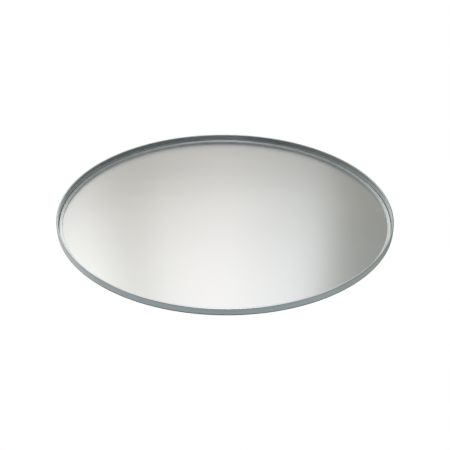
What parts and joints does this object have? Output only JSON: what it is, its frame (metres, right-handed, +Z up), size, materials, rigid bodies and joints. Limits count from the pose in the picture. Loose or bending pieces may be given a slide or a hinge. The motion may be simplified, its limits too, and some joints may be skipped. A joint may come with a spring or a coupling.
{
  "type": "traffic convex mirror",
  "caption": "Round stainless-steel convex traffic mirror with a thin raised rim and a closed back, on a tilting and panning bracket that clamps to a round post.",
  "frame": {"origin": "on the axis of the post that the clamp holds, half-way up the clamp", "axes": "+Z up along the post; the mirror faces -Y; +X to the right of someone who looks into the mirror"},
  "size_m": [0.5999, 0.2111, 0.6],
  "materials": {
    "mirror_steel": "fine satin-polished stainless steel sheet, drawn into a shallow dome",
    "rim_steel": "roll-formed stainless steel, brushed along its length",
    "black_sealant": "cured polyurethane sealant bead",
    "foam_tape": "closed-cell foam mounting tape",
    "grey_foam": "closed-cell polyethylene foam",
    "galvanised_steel": "hot-dip galvanised, dull spangle",
    "galvanised_casting": "hot-dip galvanised ductile iron casting",
    "grey_powder_coat": "light grey powder coat on pressed steel",
    "fibre": "vulcanised fibre friction disc",
    "black_rubber": "moulded EPDM strip",
    "zinc_fastener": "bright zinc-plated steel"
  },
  "bodies": {
    "clamp": {"clamp_front": "galvanised_steel", "clamp_rear": "galvanised_steel", "liner_front": "black_rubber", "liner_rear": "black_rubber", "clamp_bolts": "zinc_fastener", "clamp_washers": "zinc_fastener", "clamp_spring_washers": "zinc_fastener", "clamp_nuts": "zinc_fastener", "pan_bolt": "zinc_fastener", "pan_washers": "zinc_fastener", "pan_nut": "zinc_fastener"},
    "swivel": {"swivel_block": "galvanised_casting", "pan_friction_discs": "fibre", "tilt_friction_discs": "fibre"},
    "head": {"mirror_face": "mirror_steel", "rim_ring": "rim_steel", "edge_seal": "black_sealant", "face_tape": "foam_tape", "backing_ring": "galvanised_steel", "foam_pad": "grey_foam", "back_shell": "grey_powder_coat", "shell_washers": "zinc_fastener", "shell_screws": "zinc_fastener", "load_plate": "galvanised_steel", "yoke_bracket": "galvanised_steel", "yoke_bolts": "zinc_fastener", "yoke_washers": "zinc_fastener", "yoke_nuts": "zinc_fastener", "tilt_bolt": "zinc_fastener", "tilt_washers": "zinc_fastener", "tilt_nut": "zinc_fastener"}
  },
  "joints": [
    {"name": "pan", "type": "hinge", "parent": "clamp", "child": "swivel", "pos_m": [0, -0.06, 0], "axis": [0, 0, 1], "range_deg": [-40, 40]},
    {"name": "tilt", "type": "hinge", "parent": "swivel", "child": "head", "pos_m": [0, -0.1, 0], "axis": [1, 0, 0], "range_deg": [-20, 20]}
  ]
}
